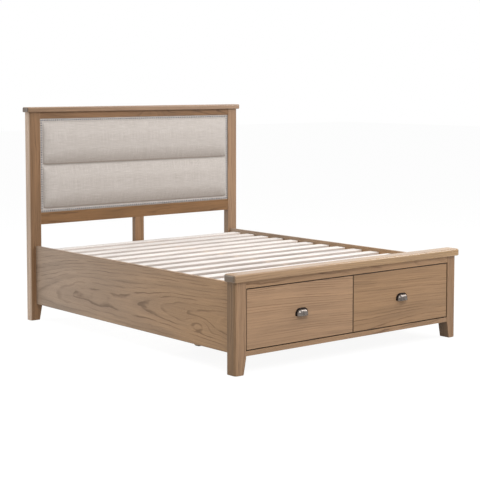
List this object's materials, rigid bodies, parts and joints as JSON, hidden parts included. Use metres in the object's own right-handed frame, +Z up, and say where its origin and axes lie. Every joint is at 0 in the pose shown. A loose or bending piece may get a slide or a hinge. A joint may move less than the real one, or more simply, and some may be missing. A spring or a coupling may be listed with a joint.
{
  "type": "drawer storage bed",
  "caption": "Wooden bed frame with a channelled fabric headboard, slatted base and sliding storage drawers with cup pulls in its footboard.",
  "frame": {"origin": "middle of the overall box at floor level, under the middle of the bed", "axes": "+X across the bed to the right as seen from its foot, +Y along the bed to the headboard, +Z up; the drawers slide out along -Y"},
  "size_m": [1.768, 2.194, 1.393],
  "materials": {
    "oak": "weathered oak under a matt lacquer",
    "slat_pine": "planed whitewashed pine",
    "frame_pine": "planed bare pine",
    "box_wood": "sanded and sealed hardwood",
    "plywood": "sealed birch plywood",
    "board": "veneered board",
    "linen": "oatmeal linen weave",
    "pewter": "antique pewter plating",
    "runner_steel": "zinc plated",
    "joint_steel": "yellow zinc plated",
    "glide_plastic": "black moulded plastic"
  },
  "bodies": {
    "bed_frame": {"centre_beam": "frame_pine", "centre_legs": "frame_pine", "drawer_bay_back": "box_wood", "drawer_bay_legs": "frame_pine", "drawer_bay_partition": "box_wood", "drawer_bay_side_left": "box_wood", "drawer_bay_side_right": "box_wood", "footboard_bottom_rail": "oak", "footboard_cap": "oak", "footboard_post_left": "oak", "footboard_post_right": "oak", "footboard_top_rail": "oak", "headboard_base_rail": "oak", "headboard_cap": "oak", "headboard_centre_post": "oak", "headboard_lower_rail": "oak", "headboard_pad_lower": "linen", "headboard_pad_upper": "linen", "headboard_panel": "board", "headboard_post_left": "oak", "headboard_post_right": "oak", "headboard_top_rail": "oak", "leg_glides": "glide_plastic", "post_slot_plates": "joint_steel", "rail_hook_plates": "joint_steel", "runner_channels_left": "runner_steel", "runner_channels_right": "runner_steel", "side_rail_left": "oak", "side_rail_right": "oak", "slat_01": "slat_pine", "slat_02": "slat_pine", "slat_03": "slat_pine", "slat_04": "slat_pine", "slat_05": "slat_pine", "slat_06": "slat_pine", "slat_07": "slat_pine", "slat_08": "slat_pine", "slat_09": "slat_pine", "slat_10": "slat_pine", "slat_11": "slat_pine", "slat_12": "slat_pine", "slat_13": "slat_pine", "slat_ledge_left": "frame_pine", "slat_ledge_right": "frame_pine"},
    "drawer_left": {"drawer_back_left": "box_wood", "drawer_base_left": "plywood", "drawer_front_left": "oak", "drawer_inner_side_left": "box_wood", "drawer_outer_side_left": "box_wood", "drawer_pull_left": "pewter", "runner_drawer_left": "runner_steel"},
    "drawer_right": {"drawer_back_right": "box_wood", "drawer_base_right": "plywood", "drawer_front_right": "oak", "drawer_inner_side_right": "box_wood", "drawer_outer_side_right": "box_wood", "drawer_pull_right": "pewter", "runner_drawer_right": "runner_steel"},
    "middle_runners_left": {"runner_middle_left": "runner_steel"},
    "middle_runners_right": {"runner_middle_right": "runner_steel"}
  },
  "joints": [
    {"name": "drawer_left_slide", "type": "slide", "parent": "bed_frame", "child": "drawer_left", "axis": [0, -1, 0], "range_m": [0, 0.6]},
    {"name": "middle_runners_left_slide", "type": "slide", "parent": "bed_frame", "child": "middle_runners_left", "axis": [0, -1, 0], "range_m": [0, 0.3]},
    {"name": "drawer_right_slide", "type": "slide", "parent": "bed_frame", "child": "drawer_right", "axis": [0, -1, 0], "range_m": [0, 0.6]},
    {"name": "middle_runners_right_slide", "type": "slide", "parent": "bed_frame", "child": "middle_runners_right", "axis": [0, -1, 0], "range_m": [0, 0.3]}
  ],
  "couplings": [
    {"joint": "middle_runners_left_slide", "follows": "drawer_left_slide", "ratio": 0.5},
    {"joint": "middle_runners_right_slide", "follows": "drawer_right_slide", "ratio": 0.5}
  ]
}
